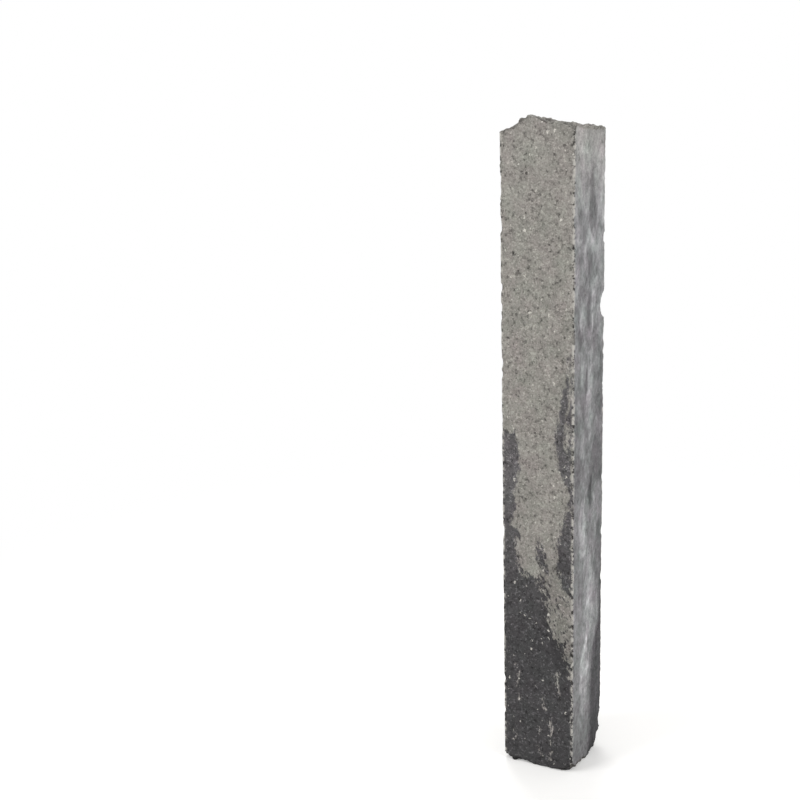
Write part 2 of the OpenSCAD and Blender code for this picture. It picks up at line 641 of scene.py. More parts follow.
@dataclass(frozen=True)
class Strip:
    """A winding strip on a face.

    Attributes:
        line: Its middle line, as (across share, height share, half width in mm).
    """

    line: tuple[tuple[float, float, float], ...]

    def distance(self, across: np.ndarray, up: np.ndarray, half: float, height: float) -> np.ndarray:
        """Measure how far points lie outside the strip, negative inside it.

        It is the distance to the nearest point of the line, less the half width there.

        Args:
            across: Places across the face.
            up: Heights.
            half: Half the face's breadth.
            height: The bar's height.

        Returns:
            Distances.
        """
        stops = np.array(self.line) * (half, height, 1)
        nearest = np.full(len(across), np.inf)
        for start, end in zip(stops[:-1], stops[1:]):
            run = end[:2] - start[:2]
            part = np.clip(((across - start[0]) * run[0] + (up - start[1]) * run[1]) / (run @ run), 0, 1)
            gap = np.hypot(across - start[0] - part * run[0], up - start[1] - part * run[1])
            nearest = np.minimum(nearest, gap - start[2] - part * (end[2] - start[2]))
        return nearest


@dataclass(frozen=True)
class Tongue(Strip):
    """A tongue of one mix in the other, and the mix that it is made of."""

    mix: Mix


@dataclass(frozen=True)
class Wash(Strip):
    """A soft strip that the wet mould left lighter or darker, and its brightness as a factor."""

    tone: float


@dataclass(frozen=True)
class FaceColours:
    """How the two mixes lie on one face.

    Attributes:
        tide: Where light gives way to dark, as the place across at each height: the dark
            mix lies to the left of it.
        tongues: Tongues of one mix in the other, in the order in which they lie.
        softness: Distance over which one mix turns into the other.
        mottle: How far the edge between the mixes wanders in small flecks.
        washes: Strips of other brightness.
        invasion: How deep threads of dark reach into light.
        drips: Lines along which light specks lie on the dark mix.
        tone: Brightness of the face, as a factor.
        smear: How far the mould's wall smeared a smooth bluish skin, 0 to 1.
    """

    tide: Ladder
    tongues: tuple[Tongue, ...]
    softness: float
    mottle: Ladder
    washes: tuple[Wash, ...]
    invasion: Ladder = ((0, 0.0),)
    drips: tuple[Strip, ...] = ()
    tone: Ladder = ((0, 1.0),)
    smear: Ladder = ((0, 0.0),)

    def light_depth(self, across: np.ndarray, up: np.ndarray, half: float, height: float) -> np.ndarray:
        """Measure how deep points lie in the light mix, negative in the dark one.

        The way across to the tide line is shortened by the line's slope there, and each
        tongue then adds its own distance, or takes it away.

        Args:
            across: Places across the face.
            up: Heights.
            half: Half the face's breadth.
            height: The bar's height.

        Returns:
            Depths.
        """
        levels = np.linspace(0, height, int(height) + 1)
        tide = half * read_ladder(self.tide, levels / height)
        slope = np.gradient(tide, levels)
        depth = (across - np.interp(up, levels, tide)) / np.hypot(1, np.interp(up, levels, slope))
        for tongue in self.tongues:
            gap = tongue.distance(across, up, half, height)
            depth = np.maximum(depth, -gap) if tongue.mix is Mix.LIGHT else np.minimum(depth, gap)
        return depth


FRONT_COLOURS = FaceColours(
    tide=(
        (0.090, 1.30), (0.139, 0.95), (0.170, 0.85), (0.193, 0.69), (0.222, 0.48), (0.257, 0.23),
        (0.271, 0.19), (0.288, 0.08), (0.309, -0.05), (0.315, -0.36), (0.321, -0.50), (0.331, -0.56),
        (0.358, -0.60), (0.380, -0.54), (0.392, -0.74), (0.412, -0.73), (0.429, -0.59), (0.443, -0.65),
        (0.465, -0.56), (0.509, -0.52), (0.541, -0.61), (0.549, -1.20),
    ),
    tongues=(
        Tongue(((0.86, 0.675, 0.7), (0.845, 0.638, 1.6), (0.79, 0.618, 2.8), (0.72, 0.590, 6.2),
                (0.68, 0.566, 6.0), (0.63, 0.542, 5.4), (0.66, 0.526, 6.5), (0.74, 0.508, 10.5),
                (0.80, 0.494, 9.5), (0.87, 0.476, 6.5), (0.94, 0.455, 3.6), (0.95, 0.430, 3.4)), Mix.DARK),
        Tongue(((0.93, 0.655, 0.6), (0.95, 0.628, 1.4), (0.92, 0.600, 2.2), (0.89, 0.575, 3.8),
                (0.91, 0.548, 3.0), (0.95, 0.520, 0.8)), Mix.DARK),
        Tongue(((0.94, 0.430, 3.4), (0.84, 0.406, 7.5), (0.79, 0.386, 10.5), (0.77, 0.365, 11.5),
                (0.76, 0.346, 10.5), (0.80, 0.322, 7.0), (0.86, 0.300, 3.0)), Mix.DARK),
        Tongue(((0.02, 0.374, 0.8), (0.08, 0.356, 3.0), (0.14, 0.346, 3.6), (0.18, 0.334, 2.0),
                (0.17, 0.318, 1.4), (0.14, 0.300, 1.8), (0.22, 0.272, 1.2), (0.27, 0.245, 1.0)), Mix.DARK),
    ),
    softness=1.6,
    mottle=((0.00, 5.0), (0.14, 7.5), (0.30, 8.0), (0.45, 8.0), (0.60, 5.0), (1.00, 5.0)),
    invasion=((0.10, 17.0), (0.16, 17.0), (0.28, 16.0), (0.34, 8.0), (0.42, 2.5), (0.60, 0.0)),
    drips=(
        Strip(((-0.65, 0.165, 0.5), (-0.57, 0.156, 1.0), (-0.60, 0.137, 1.4), (-0.52, 0.123, 0.8),
               (-0.55, 0.108, 0.8))),
        Strip(((0.56, 0.166, 0.6), (0.57, 0.148, 1.0), (0.63, 0.128, 0.6))),
        Strip(((0.34, 0.084, 0.6), (0.42, 0.070, 1.0), (0.46, 0.062, 0.8), (0.37, 0.055, 1.4),
               (0.39, 0.042, 0.8))),
        Strip(((0.38, 0.030, 0.4), (0.29, 0.022, 1.0), (0.34, 0.016, 0.5))),
        Strip(((0.03, 0.067, 0.8), (0.06, 0.056, 0.6))),
        Strip(((-0.67, 0.052, 0.8), (-0.63, 0.044, 1.2), (-0.72, 0.036, 0.8))),
        Strip(((0.02, 0.034, 0.4), (0.12, 0.020, 0.7))),
        Strip(((0.12, 0.122, 0.5), (0.19, 0.100, 0.8))),
    ),
    washes=(
        Wash(((-0.45, 1.000, 15), (0.10, 0.996, 13)), 0.89),
        Wash(((0.30, 0.992, 4), (0.62, 0.984, 6), (0.92, 0.978, 5)), 0.86),
        Wash(((0.30, 0.335, 18), (0.52, 0.250, 24), (0.80, 0.180, 16)), 0.80),
        Wash(((-0.90, 0.520, 8), (-0.80, 0.470, 10), (-0.86, 0.430, 8)), 1.12),
        Wash(((0.60, 0.360, 10), (0.86, 0.330, 10)), 0.86),
    ),
)

RIGHT_COLOURS = FaceColours(
    tide=((0.00, -1.60),),
    tongues=(
        Tongue(((0.99, 0.300, 3.0), (0.93, 0.250, 10.0), (0.88, 0.205, 13.0), (0.68, 0.172, 24.0),
                (0.60, 0.120, 26.0), (0.62, 0.060, 27.0), (0.54, 0.000, 30.0)), Mix.DARK),
    ),
    softness=5.0,
    mottle=((0.00, 5.0),),
    tone=(
        (0.00, 0.52), (0.05, 0.60), (0.10, 0.70), (0.15, 0.78), (0.35, 0.72), (0.40, 0.74), (0.46, 0.59),
        (0.50, 0.60), (0.56, 0.70), (0.75, 0.78), (0.82, 0.96), (0.90, 0.96), (0.95, 1.00), (1.00, 1.02),
    ),
    washes=(
        Wash(((-0.60, 0.985, 18), (-0.50, 0.960, 20)), 1.19),
        Wash(((-0.50, 0.955, 8), (-0.22, 0.938, 12), (-0.10, 0.920, 8)), 1.27),
        Wash(((0.66, 0.930, 16), (0.74, 0.880, 14), (0.78, 0.845, 10)), 1.29),
        Wash(((0.16, 0.925, 2), (0.12, 0.900, 8), (0.14, 0.880, 12), (0.22, 0.850, 16),
              (0.20, 0.833, 12)), 0.63),
        Wash(((-0.58, 0.855, 12), (-0.40, 0.838, 13)), 0.77),
        Wash(((0.70, 0.850, 9), (0.72, 0.836, 10)), 0.81),
        Wash(((0.12, 0.828, 11), (0.16, 0.816, 9)), 1.40),
        Wash(((-0.28, 0.824, 3), (-0.34, 0.812, 4)), 1.43),
        Wash(((-0.02, 0.806, 8), (-0.04, 0.788, 7), (0.06, 0.765, 5)), 0.67),
        Wash(((-0.56, 0.800, 4), (-0.58, 0.780, 3)), 0.77),
        Wash(((0.34, 0.762, 8), (0.30, 0.732, 11)), 1.42),
        Wash(((-0.04, 0.740, 7), (-0.06, 0.700, 9)), 0.65),
        Wash(((0.18, 0.712, 1.5), (0.16, 0.696, 2)), 1.89),
        Wash(((-0.46, 0.730, 7), (-0.44, 0.700, 8)), 1.37),
        Wash(((-0.62, 0.690, 8), (-0.52, 0.672, 8)), 0.79),
        Wash(((0.06, 0.650, 10), (0.02, 0.600, 11)), 1.42),
        Wash(((-0.48, 0.640, 4), (-0.46, 0.615, 5)), 1.40),
        Wash(((-0.22, 0.630, 4), (-0.26, 0.600, 5)), 0.63),
        Wash(((0.84, 0.650, 6), (0.78, 0.605, 9), (0.62, 0.565, 17)), 0.72),
        Wash(((-0.12, 0.592, 8), (-0.02, 0.560, 13), (0.10, 0.530, 8)), 1.42),
        Wash(((-0.40, 0.535, 5), (-0.44, 0.508, 6)), 1.42),
        Wash(((-0.30, 0.492, 5), (-0.28, 0.468, 6)), 1.50),
        Wash(((0.50, 0.500, 20), (0.60, 0.470, 18)), 0.79),
        Wash(((0.10, 0.456, 8), (0.04, 0.432, 9)), 0.50),
        Wash(((0.28, 0.432, 3), (0.44, 0.416, 3)), 1.63),
        Wash(((-0.42, 0.432, 9), (-0.42, 0.392, 14), (-0.30, 0.360, 15)), 1.57),
        Wash(((-0.46, 0.412, 2.5), (-0.48, 0.398, 2.5)), 0.65),
        Wash(((-0.08, 0.340, 13), (-0.04, 0.300, 17), (0.00, 0.268, 17)), 1.42),
        Wash(((0.72, 0.365, 14), (0.72, 0.320, 18), (0.80, 0.280, 14)), 0.68),
        Wash(((0.66, 0.306, 2), (0.68, 0.296, 2)), 1.76),
        Wash(((0.02, 0.245, 20), (-0.04, 0.212, 16)), 1.42),
        Wash(((-0.14, 0.205, 2), (-0.24, 0.172, 14), (-0.28, 0.130, 16)), 1.72),
        Wash(((-0.24, 0.106, 14), (-0.26, 0.090, 13)), 1.45),
        Wash(((-0.36, 0.126, 3), (-0.28, 0.118, 3)), 0.63),
    ),
    smear=((0.86, 1.00), (0.94, 0.60), (1.00, 0.35)),
)

BACK_COLOURS = FaceColours(
    tide=(
        (0.130, 1.30), (0.175, 0.92), (0.210, 0.55), (0.236, 0.60), (0.262, 0.30), (0.290, 0.22),
        (0.306, -0.10), (0.330, -0.18), (0.352, -0.02), (0.371, -0.30), (0.402, -0.36), (0.418, -0.24),
        (0.437, -0.62), (0.470, -0.70), (0.495, -0.60), (0.522, -0.84), (0.548, -0.90), (0.560, -1.20),
    ),
    tongues=(
        Tongue(((0.98, 0.600, 1.5), (0.93, 0.560, 4.5), (0.88, 0.515, 7.5), (0.90, 0.470, 6.5),
                (0.84, 0.430, 9.0), (0.86, 0.385, 8.0), (0.95, 0.345, 4.0)), Mix.DARK),
        Tongue(((0.30, 0.470, 0.8), (0.34, 0.445, 2.8), (0.30, 0.415, 3.6), (0.40, 0.385, 2.4),
                (0.44, 0.345, 1.4)), Mix.DARK),
        Tongue(((-0.52, 0.300, 0.8), (-0.46, 0.255, 2.6), (-0.40, 0.215, 3.0), (-0.30, 0.170, 1.4),
                (-0.27, 0.135, 0.6)), Mix.LIGHT),
    ),
    softness=1.6,
    mottle=((0.00, 5.0), (0.20, 7.0), (0.34, 6.5), (0.42, 5.5), (1.00, 5.0)),
    invasion=((0.12, 13.0), (0.22, 14.0), (0.32, 12.0), (0.38, 5.0), (0.50, 1.0), (0.60, 0.0)),
    drips=(
        Strip(((0.10, 0.155, 0.6), (0.20, 0.126, 1.2), (0.15, 0.104, 1.0), (0.22, 0.090, 0.6))),
        Strip(((-0.52, 0.120, 0.6), (-0.45, 0.098, 1.2), (-0.50, 0.080, 0.8))),
        Strip(((0.62, 0.060, 0.8), (0.55, 0.040, 1.4))),
    ),
    washes=(
        Wash(((-0.30, 0.320, 16), (-0.10, 0.250, 20), (0.30, 0.190, 14)), 0.86),
        Wash(((0.60, 0.860, 22), (0.40, 0.780, 26), (0.50, 0.700, 20)), 1.06),
        Wash(((-0.60, 0.640, 20), (-0.50, 0.560, 24)), 0.93),
    ),
)

LEFT_COLOURS = FaceColours(
    tide=((-0.01, 1.30), (0.030, 0.40), (0.085, -1.30)),
    tongues=(
        Tongue(((-1.00, 0.470, 2.0), (-0.88, 0.400, 9.0), (-0.80, 0.320, 15.0), (-0.72, 0.240, 19.0),
                (-0.78, 0.150, 18.0), (-0.74, 0.060, 22.0), (-0.70, 0.000, 24.0)), Mix.DARK),
        Tongue(((0.92, 0.330, 2.0), (0.88, 0.270, 7.0), (0.94, 0.200, 5.0), (0.96, 0.140, 2.0)), Mix.DARK),
    ),
    softness=9.0,
    mottle=((0.00, 8.0),),
    tone=(
        (0.00, 0.62), (0.06, 0.72), (0.16, 0.84), (0.30, 0.84), (0.42, 0.76), (0.55, 0.72), (0.70, 0.82),
        (0.86, 0.96), (1.00, 1.12),
    ),
    washes=(
        Wash(((0.40, 0.970, 16), (0.30, 0.940, 18), (0.36, 0.900, 9)), 1.27),
        Wash(((-0.56, 0.950, 10), (-0.50, 0.900, 13), (-0.58, 0.850, 9)), 0.70),
        Wash(((0.02, 0.880, 7), (0.08, 0.840, 11), (-0.02, 0.810, 8)), 1.37),
        Wash(((0.62, 0.860, 8), (0.56, 0.810, 12), (0.64, 0.770, 7)), 0.72),
        Wash(((-0.38, 0.800, 10), (-0.34, 0.760, 12), (-0.42, 0.720, 7)), 1.34),
        Wash(((0.20, 0.760, 6), (0.16, 0.715, 9), (0.24, 0.680, 6)), 0.67),
        Wash(((0.60, 0.720, 8), (0.66, 0.660, 12), (0.58, 0.620, 8)), 1.37),
        Wash(((-0.10, 0.670, 8), (-0.16, 0.625, 11), (-0.06, 0.590, 6)), 1.42),
        Wash(((-0.66, 0.650, 9), (-0.58, 0.590, 13)), 0.74),
        Wash(((0.32, 0.600, 6), (0.26, 0.550, 10), (0.34, 0.520, 6)), 0.70),
        Wash(((0.72, 0.540, 7), (0.68, 0.490, 10)), 1.40),
        Wash(((-0.30, 0.520, 8), (-0.24, 0.460, 13), (-0.30, 0.420, 8)), 1.50),
        Wash(((0.14, 0.450, 6), (0.20, 0.405, 8)), 0.65),
        Wash(((0.52, 0.410, 10), (0.46, 0.340, 15), (0.40, 0.280, 12)), 1.55),
        Wash(((0.06, 0.300, 9), (0.12, 0.230, 14), (0.10, 0.170, 16)), 1.76),
        Wash(((0.64, 0.190, 9), (0.58, 0.120, 12)), 1.29),
    ),
    smear=((0.86, 1.00), (0.94, 0.60), (1.00, 0.35)),
)

FACE_COLOURS = {
    Face.FRONT: FRONT_COLOURS,
    Face.RIGHT: RIGHT_COLOURS,
    Face.BACK: BACK_COLOURS,
    Face.LEFT: LEFT_COLOURS,
}


# What each vertex carries for the concrete to follow
CARRIED = ("depth", "mottle", "invaded", "drip", "tone", "smear", "broken", "arris")


@dataclass(frozen=True)
class Palisade:
    """The bar: its form, its relief, and the values that its colours follow.

    Attributes:
        form: The broken bar.
        relief: How rough it is.
        depth_limit: Distance past which a point counts as wholly in one mix.
        wander_across: How the edges of mixes and washes wander to the sides.
        wander_up: How they wander up and down.
        drip_reach: Distance over which a line of specks thins out.
        wash_softness: Distance over which a wash sets in.
        wash_fray: How the edges of the washes are frayed.
        clouds: Patches of other brightness, a little taller than wide.
        cloud_swings: How far each of them changes it everywhere, and how much more on a skin.
        rubbed_share: How far the pale line of an arris reaches, partly rubbing and partly a painted
            highlight, as a share of its wear.
        chip_outline: How ragged the outlines of the chips are.
        chip_softness: Depth at which a chip is wholly raw.
        chip_rawness: How raw the chips look beside the broken ends, 0 to 1; their darker stone is partly
            painted shade in the notches.
        rim_reach: Distance by which a broken rim reaches into the faces.
        rim_outline: How much further it reaches here and there.
    """

    form: BarForm
    relief: StoneRelief
    depth_limit: float = 9.0
    wander_across: tuple[Lumps, ...] = (Lumps(4.0, 16, 700, stretch=1.6), Lumps(1.8, 6.5, 710, stretch=1.6))
    wander_up: tuple[Lumps, ...] = (Lumps(8.0, 16, 750, stretch=1.6), Lumps(3.6, 6.5, 760, stretch=1.6))
    drip_reach: float = 1.6
    wash_softness: float = 5.5
    wash_fray: Lumps = Lumps(4.5, 9, 860, stretch=1.8)
    clouds: tuple[Lumps, ...] = (Lumps(1.0, 26, 800, stretch=1.5), Lumps(1.0, 10, 820, stretch=1.8))
    cloud_swings: tuple[tuple[float, float], ...] = ((0.06, 0.15), (0.03, 0.20))
    rubbed_share: float = 0.45
    chip_outline: Lumps = Lumps(0.9, 5, 650)
    chip_softness: float = 1.4
    # The chips take on the breaks' darker stone, partly painted shade in the notches
    chip_rawness: float = 0.7
    rim_reach: float = 1.5
    rim_outline: Lumps = Lumps(4.0, 20, 660)

    def build(self, material: bpy.types.Material) -> bpy.types.Object:
        """Make the bar's mesh, roughen it, and store the values that its colours follow.

        Args:
            material: The concrete.

        Returns:
            The bar.
        """
        points, faces = self.form.surface()
        mesh = bpy.data.meshes.new(NODE)
        mesh.from_pydata(points * MM, [], faces)
        mesh.polygons.foreach_set("use_smooth", np.ones(len(faces), bool))
        mesh.update()
        normals = np.empty(points.size, np.float32)
        mesh.vertex_normals.foreach_get("vector", normals)

        edge, arris, broken = self.edges(points)
        values = self.values(points, arris, broken)
        height = (1 - broken) * self.relief.cast_height(points, values["smear"])
        height += broken * self.relief.broken_height(points) + edge * self.relief.worn_height(points)
        rough = points + normals.reshape(-1, 3) * height[:, None]
        rough = np.clip(rough, (*-self.form.halves, 0), (*self.form.halves, self.form.height))
        mesh.vertices.foreach_set("co", (rough * MM).astype(np.float32).ravel())
        for name in CARRIED:
            attribute = mesh.attributes.new(name, "FLOAT", "POINT")
            attribute.data.foreach_set("value", values[name].astype(np.float32))
        mesh.materials.append(material)
        mesh.update()
        return put_in_scene("palisade_bar", mesh)

    def values(self, points: np.ndarray, arris: np.ndarray, broken: np.ndarray) -> dict[str, np.ndarray]:
        """Work out what each vertex carries.

        Args:
            points: Places on the unroughened bar, n rows of 3.
            arris: Nearness to an arris, 0 to 1.
            broken: Broken share, 0 to 1.

        Returns:
            Values by name: depth in the light mix, how far its edge is mottled, and how deep
            dark threads reach into it, all in softnesses; drip, on a line of light specks;
            tone; smear; broken; and arris.
        """
        values = {name: np.zeros(len(points)) for name in CARRIED}
        nearest = np.argmax([points[:, :2] / self.form.halves @ face.outward for face in Face], axis=0)
        for number, face in enumerate(Face):
            facing = nearest == number
            for name, value in self.face_values(face, points[facing]).items():
                values[name][facing] = value
        clouding = np.ones(len(points))
        for cloud, (everywhere, on_skin) in zip(self.clouds, self.cloud_swings):
            clouding += (everywhere + on_skin * values["smear"]) * cloud.at(points)
        values["tone"] *= clouding
        values["smear"] *= 1 - broken
        values.update(broken=broken, arris=arris)
        return values

    def face_values(self, face: Face, points: np.ndarray) -> dict[str, np.ndarray]:
        """Work out what the vertices of one face carry, before clouds and breaks.

        A wash multiplies the tone by its own to the power of how far it has set in.

        Args:
            face: The face.
            points: Places on it, n rows of 3.

        Returns:
            Values by name.
        """
        colours, half, height = FACE_COLOURS[face], self.form.half_breadth(face), self.form.height
        across = points[:, :2] @ face.rightward + layered(self.wander_across, points)
        up = points[:, 2]
        wavy = up + layered(self.wander_up, points)
        share = up / height
        depth = colours.light_depth(across, wavy, half, height)
        drip = np.zeros(len(points))
        for line in colours.drips:
            off = np.maximum(line.distance(across, up, half, height), 0)
            drip = np.maximum(drip, fade(off, self.drip_reach))
        tone = read_ladder(colours.tone, share)
        fray = self.wash_fray.at(points)
        for wash in colours.washes:
            off = wash.distance(across, wavy, half, height) + fray
            tone *= wash.tone ** np.clip(0.5 - off / self.wash_softness, 0, 1)
        return {
            "depth": np.clip(depth, -self.depth_limit, self.depth_limit) / colours.softness,
            "mottle": read_ladder(colours.mottle, share) / colours.softness,
            "invaded": read_ladder(colours.invasion, share) / colours.softness,
            "drip": drip,
            "tone": tone,
            "smear": read_ladder(colours.smear, share),
        }

    def edges(self, points: np.ndarray) -> tuple[np.ndarray, np.ndarray, np.ndarray]:
        """Tell which vertices are near an edge, and which lie on broken stone.

        Nearness is a bell curve of the distance along the face. A chip is where a vertex lies
        further in than the section, and the ends are wholly broken.

        Args:
            points: Places, n rows of 3.

        Returns:
            Nearness to an arris or rim, nearness to an arris, and the broken share, 0 to 1.
        """
        form, reach = self.form, self.relief.arris_reach
        sides = form.girth_steps * (form.rows + 1)
        grid = points[:sides].reshape(-1, form.girth_steps, 3)
        section = form.section()
        inset = np.hypot(*section.T) - np.hypot(grid[..., 0], grid[..., 1])
        off_arris = np.maximum(np.max(form.halves - form.arris_radius - np.abs(section), axis=1), 0)
        off_rim = np.minimum(grid[..., 2] - grid[0, :, 2], grid[-1, :, 2] - grid[..., 2])
        ragged = inset + self.chip_outline.at(points[:sides]).reshape(inset.shape)
        chip = np.where(inset > 0, np.clip(ragged / self.chip_softness, 0, 1), 0)

        arris = np.zeros(len(points))
        edge = np.zeros(len(points))
        broken = np.ones(len(points))
        # Nearness for the pale arris line, which is partly wear and partly a painted highlight
        arris[:sides] = (fade(off_arris, self.rubbed_share * reach) * (1 - chip)).ravel()
        edge[:sides] = np.maximum(fade(off_arris, reach) * (1 - chip), fade(off_rim, reach)).ravel()
        further = np.maximum(self.rim_outline.at(points[:sides]), 0).reshape(inset.shape)
        broken_rim = fade(off_rim, self.rim_reach + further)
        # Chips count partly as broken, whose darker stone is partly painted shade
        broken[:sides] = np.maximum(self.chip_rawness * chip, broken_rim).ravel()
        return edge, arris, broken


def put_in_scene(name: str, data: bpy.types.ID) -> bpy.types.Object:
    """Make an object and put it into the scene.

    Args:
        name: The object's name.
        data: Its mesh, lamp or camera.

    Returns:
        The object.
    """
    thing = bpy.data.objects.new(name, data)
    bpy.context.scene.collection.objects.link(thing)
    return thing


def linear(colour: str) -> tuple[float, float, float, float]:
    """Turn an sRGB hex colour into the linear colour that a shader takes."""
    parts = [int(colour[k:k + 2], 16) / 255 for k in (1, 3, 5)]
    return (*(c / 12.92 if c <= 0.04045 else ((c + 0.055) / 1.055) ** 2.4 for c in parts), 1.0)


def per_metre(size: float) -> float:
    """Return the scale at which a pattern repeats once in size, which is in millimetres."""
    return 1 / (size * MM)


Socket = bpy.types.NodeSocket
Outputs = bpy.types.NodeOutputs
# What a node's input takes, under the input's name or number
Inputs = dict[int | str, float | tuple[float, ...] | Socket]

# Numbers of a Mix node's sockets, where it mixes colours
FACTOR, UNDER, OVER, MIXED = 0, 6, 7, 2
WHITE = (1.0, 1.0, 1.0, 1.0)


def add_node(tree: bpy.types.NodeTree, kind: str, inputs: Inputs | None = None,
             **settings: str | bool) -> Outputs:
    """Add a node, with its settings, and fill its inputs.

    Args:
        tree: The tree that it goes into.
        kind: The node's type, less the ShaderNode that it begins with.
        inputs: Values or other nodes' sockets.
        **settings: The node's own settings.

    Returns:
        The node's outputs.
    """
    node = tree.nodes.new("ShaderNode" + kind)
    for name, value in settings.items():
        setattr(node, name, value)
    for name, value in (inputs or {}).items():
        if isinstance(value, Socket):
            tree.links.new(value, node.inputs[name])
        else:
            node.inputs[name].default_value = value
    return node.outputs


def empty_tree(owner: bpy.types.Material | bpy.types.World) -> bpy.types.NodeTree:
    """Switch nodes on, and clear those that come with them.

    Args:
        owner: The material or world.

    Returns:
        Its empty tree.
    """
    owner.use_nodes = True
    owner.node_tree.nodes.clear()
    return owner.node_tree


@dataclass(frozen=True)
class Pattern:
    """A noise pattern.

    Attributes:
        size: Width of its lumps.
        detail: How many finer layers it has.
        roughness: How strong each layer is beside the one before.
        stretch: How many times taller than wide its lumps are.
        lean: Degrees that they lean by.
        span: Noise between which the pattern sets in, where it isn't taken as it comes.
        most: The pattern's strength where it has set in.
    """

    size: float
    detail: float
    roughness: float
    stretch: float = 1.0
    lean: float = 0.0
    span: tuple[float, float] | None = None
    most: float = 1.0


@dataclass(frozen=True)
class ConcretePatterns:
    """The noise patterns of the concrete.

    Attributes:
        flecks: Small flecks along the edge between the mixes.
        threads: Slanting threads of dark that reach into light.
        rows: Light specks, where a row of them lies on the dark mix.
        cast: Wide patches of greener and of more violet grey.
        blotches: Patches of other brightness.
        grain: Open grain of the cast faces.
        hollows: Hollows between the grains, darkened as painted shade.
        sand: Pale grains of sand.
        scratches: Cloudy smears of the skin.
        rubs: Where an arris is pale, partly from rubbing and partly as a painted highlight on its rounded
            edge.
        gaps: Where crumbs are missing from it, painted dark as the shade in those notches.
    """

    flecks: Pattern = Pattern(5.0, 4.0, 0.72, stretch=2.0)
    threads: Pattern = Pattern(4.5, 3.0, 0.65, stretch=3.5, lean=24, span=(0.44, 0.68))
    rows: Pattern = Pattern(3.0, 2.0, 0.60, stretch=2.0, span=(0.50, 0.62))
    cast: Pattern = Pattern(26, 2.0, 0.60, stretch=1.25)
    blotches: Pattern = Pattern(13, 3.0, 0.60)
    grain: Pattern = Pattern(2.4, 2.0, 0.70)
    hollows: Pattern = Pattern(5.5, 2.0, 0.65, stretch=1.25, span=(0.45, 0.29), most=0.54)
    sand: Pattern = Pattern(3.8, 2.0, 0.70, span=(0.56, 0.72))
    scratches: Pattern = Pattern(5.5, 2.0, 0.65, stretch=1.4)
    rubs: Pattern = Pattern(8.0, 3.0, 0.75, span=(0.48, 0.57))
    # Painted shade where crumbs are missing from an arris
    gaps: Pattern = Pattern(8.0, 3.0, 0.75, span=(0.47, 0.41), most=0.95)


@dataclass(frozen=True)
class Strengths:
    """How strong parts of the concrete's look are, on the grainy faces and on the smeared skin.

    Attributes:
        cast: The green and violet cast.
        grain: Grain, hollows and sand.
        quartz: Specks of quartz.
        pits: Pits.
        bump: Relief of grain and pits.
    """

    cast: tuple[float, float] = (1.0, 1.5)
    grain: tuple[float, float] = (1.0, 0.35)
    quartz: tuple[float, float] = (1.0, 0.4)
    pits: tuple[float, float] = (0.8, 0.3)
    bump: tuple[float, float] = (1.0, 0.4)


@dataclass(frozen=True)
class Specks:
    """Specks of uneven size and strength, one in each cell of a pattern.

    Attributes:
        hue: Their colour.
        spacing: Mean distance between the cells.
        draws: Numbers of the cell's random values that set a speck's size and its strength.
        bare: Share of the cells that have none.
        radius: Radius of the largest, in spacings.
        rim: Distance over which a speck ends, in spacings.
        faintest: Strength of the faintest.
    """

    hue: str
    spacing: float
    draws: tuple[int, int]
    bare: float
    radius: float
    rim: float
    faintest: float


@dataclass(frozen=True)
class Ground:
    """What the layers of the concrete's look are built on.

    Attributes:
        add: Adds a node to the material's tree, as add_node does.
        place: Socket of the object's coordinates.
        carried: Sockets of what the vertices carry, by name.
        noise: Sockets of the noise patterns, by name.
        strength: Sockets of the strengths, by name.
    """

    add: Callable[..., Outputs]
    place: Socket
    carried: dict[str, Socket]
    noise: dict[str, Socket]
    strength: dict[str, Socket]


